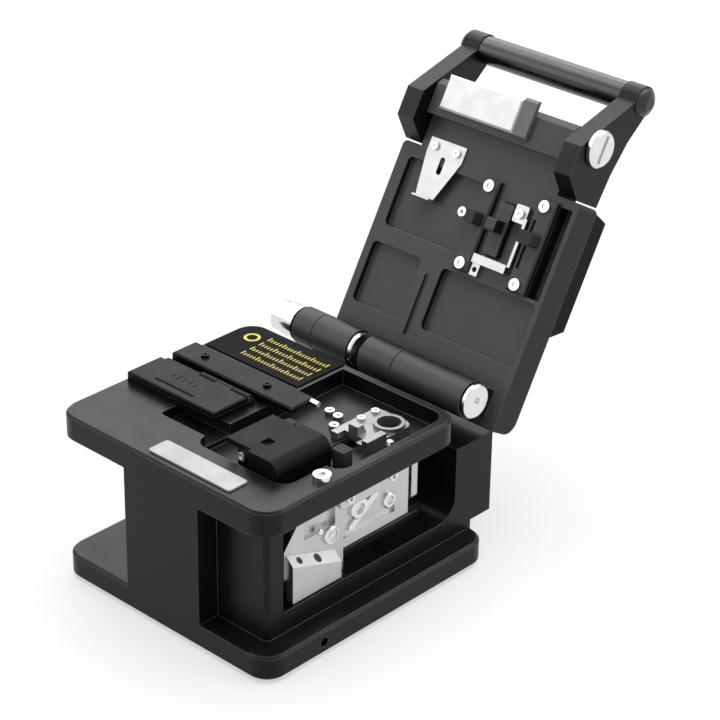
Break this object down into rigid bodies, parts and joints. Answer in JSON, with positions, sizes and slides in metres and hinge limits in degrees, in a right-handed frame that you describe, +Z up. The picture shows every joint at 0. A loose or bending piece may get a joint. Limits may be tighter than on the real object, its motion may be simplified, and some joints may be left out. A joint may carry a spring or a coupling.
{
  "type": "fibre cleaver",
  "caption": "Bench fibre cleaver: C-shaped body with deck, hinged lid with clamps, press handle, and a blade carriage on a rail in a side window.",
  "frame": {"origin": "centre of the base's underside, on the surface it stands on", "axes": "+X the user's right, +Y the back (hinge side), +Z up"},
  "size_m": [0.0754, 0.1441, 0.117],
  "materials": {
    "black_paint": "satin black powder coat on the castings",
    "dark_anodised": "black anodised aluminium, fine blasted",
    "black_plastic": "fine textured black plastic",
    "machined_steel": "ground and machined steel",
    "polished_steel": "polished steel screw heads and pins",
    "chrome": "chromium plated turned knob",
    "aluminium": "brushed aluminium plate",
    "nickel_block": "satin nickel plated block",
    "black_film": "matt black film",
    "rubber": "black rubber",
    "carbide": "lapped carbide blade"
  },
  "bodies": {
    "base": {"body_casting": "black_paint", "base_pad": "rubber", "label_plate": "aluminium", "scale_plate": "black_film", "stop_screw": "polished_steel", "slot_plate": "black_paint", "holder_base": "dark_anodised", "holder_flap_pin": "polished_steel", "rear_rest": "dark_anodised", "rear_rest_screws": "dark_anodised", "rear_rest_pin": "polished_steel", "blade_guard": "black_plastic", "blade_guard_screw": "polished_steel", "blade_guard_post": "black_plastic", "lower_clamp": "machined_steel", "lower_clamp_screws": "polished_steel", "lower_pads": "rubber", "scrap_post": "polished_steel", "deck_screws": "polished_steel", "guide_rail": "machined_steel", "guide_rail_screws": "polished_steel", "hinge_bracket_left": "black_paint", "hinge_bracket_right": "black_paint", "hinge_pin_left": "polished_steel", "hinge_pin_right": "polished_steel", "hinge_knob": "chrome"},
    "carriage": {"carriage_block": "machined_steel", "carriage_front_plate": "machined_steel", "carriage_front_screws": "polished_steel", "carriage_rear_plate": "machined_steel", "carriage_side_cover": "machined_steel", "carriage_side_screws": "polished_steel", "blade_arm": "machined_steel", "blade_axle": "polished_steel"},
    "blade": {"blade_wheel": "carbide"},
    "flap": {"holder_flap": "dark_anodised"},
    "anvil": {"anvil": "dark_anodised"},
    "handle": {"handle_frame": "black_paint", "handle_grip": "black_plastic", "handle_grip_caps": "black_plastic"},
    "lid": {"lid_shell": "black_paint", "lid_cover": "black_plastic", "lid_cover_screws": "dark_anodised", "spring_plate": "machined_steel", "spring_plate_screws": "polished_steel", "clamp_bar_left": "dark_anodised", "clamp_bar_right": "dark_anodised", "clamp_bar_screws": "polished_steel", "upper_pads": "rubber", "clamp_bracket": "machined_steel", "anvil_spring": "machined_steel", "anvil_keeper": "machined_steel", "anvil_keeper_screw": "polished_steel", "lid_guide_strip": "machined_steel", "lid_release_pin": "polished_steel", "latch_block": "nickel_block", "latch_nose": "dark_anodised", "handle_pivot_right": "polished_steel", "handle_pivot_left": "polished_steel"}
  },
  "joints": [
    {"name": "lid_hinge", "type": "hinge", "parent": "base", "child": "lid", "pos_m": [0, 0.0368, 0.0483], "axis": [1, 0, 0], "range_deg": [0, 120]},
    {"name": "handle_press", "type": "hinge", "parent": "lid", "child": "handle", "pos_m": [0, 0.07949, 0.10564], "axis": [1, 0, 0], "range_deg": [0, 25]},
    {"name": "anvil_spring_travel", "type": "slide", "parent": "lid", "child": "anvil", "axis": [0, 0.866, -0.5], "range_m": [0, 0.0008], "stiffness_N_per_m": 400},
    {"name": "carriage_slide", "type": "slide", "parent": "base", "child": "carriage", "axis": [0, 1, 0], "range_m": [0, 0.011]},
    {"name": "blade_turn", "type": "hinge", "parent": "carriage", "child": "blade", "pos_m": [0.0215, -0.014, 0.0427], "axis": [1, 0, 0], "continuous": true},
    {"name": "holder_flap_hinge", "type": "hinge", "parent": "base", "child": "flap", "pos_m": [0, -0.00525, 0.05025], "axis": [1, 0, 0], "range_deg": [-100, 0]}
  ]
}
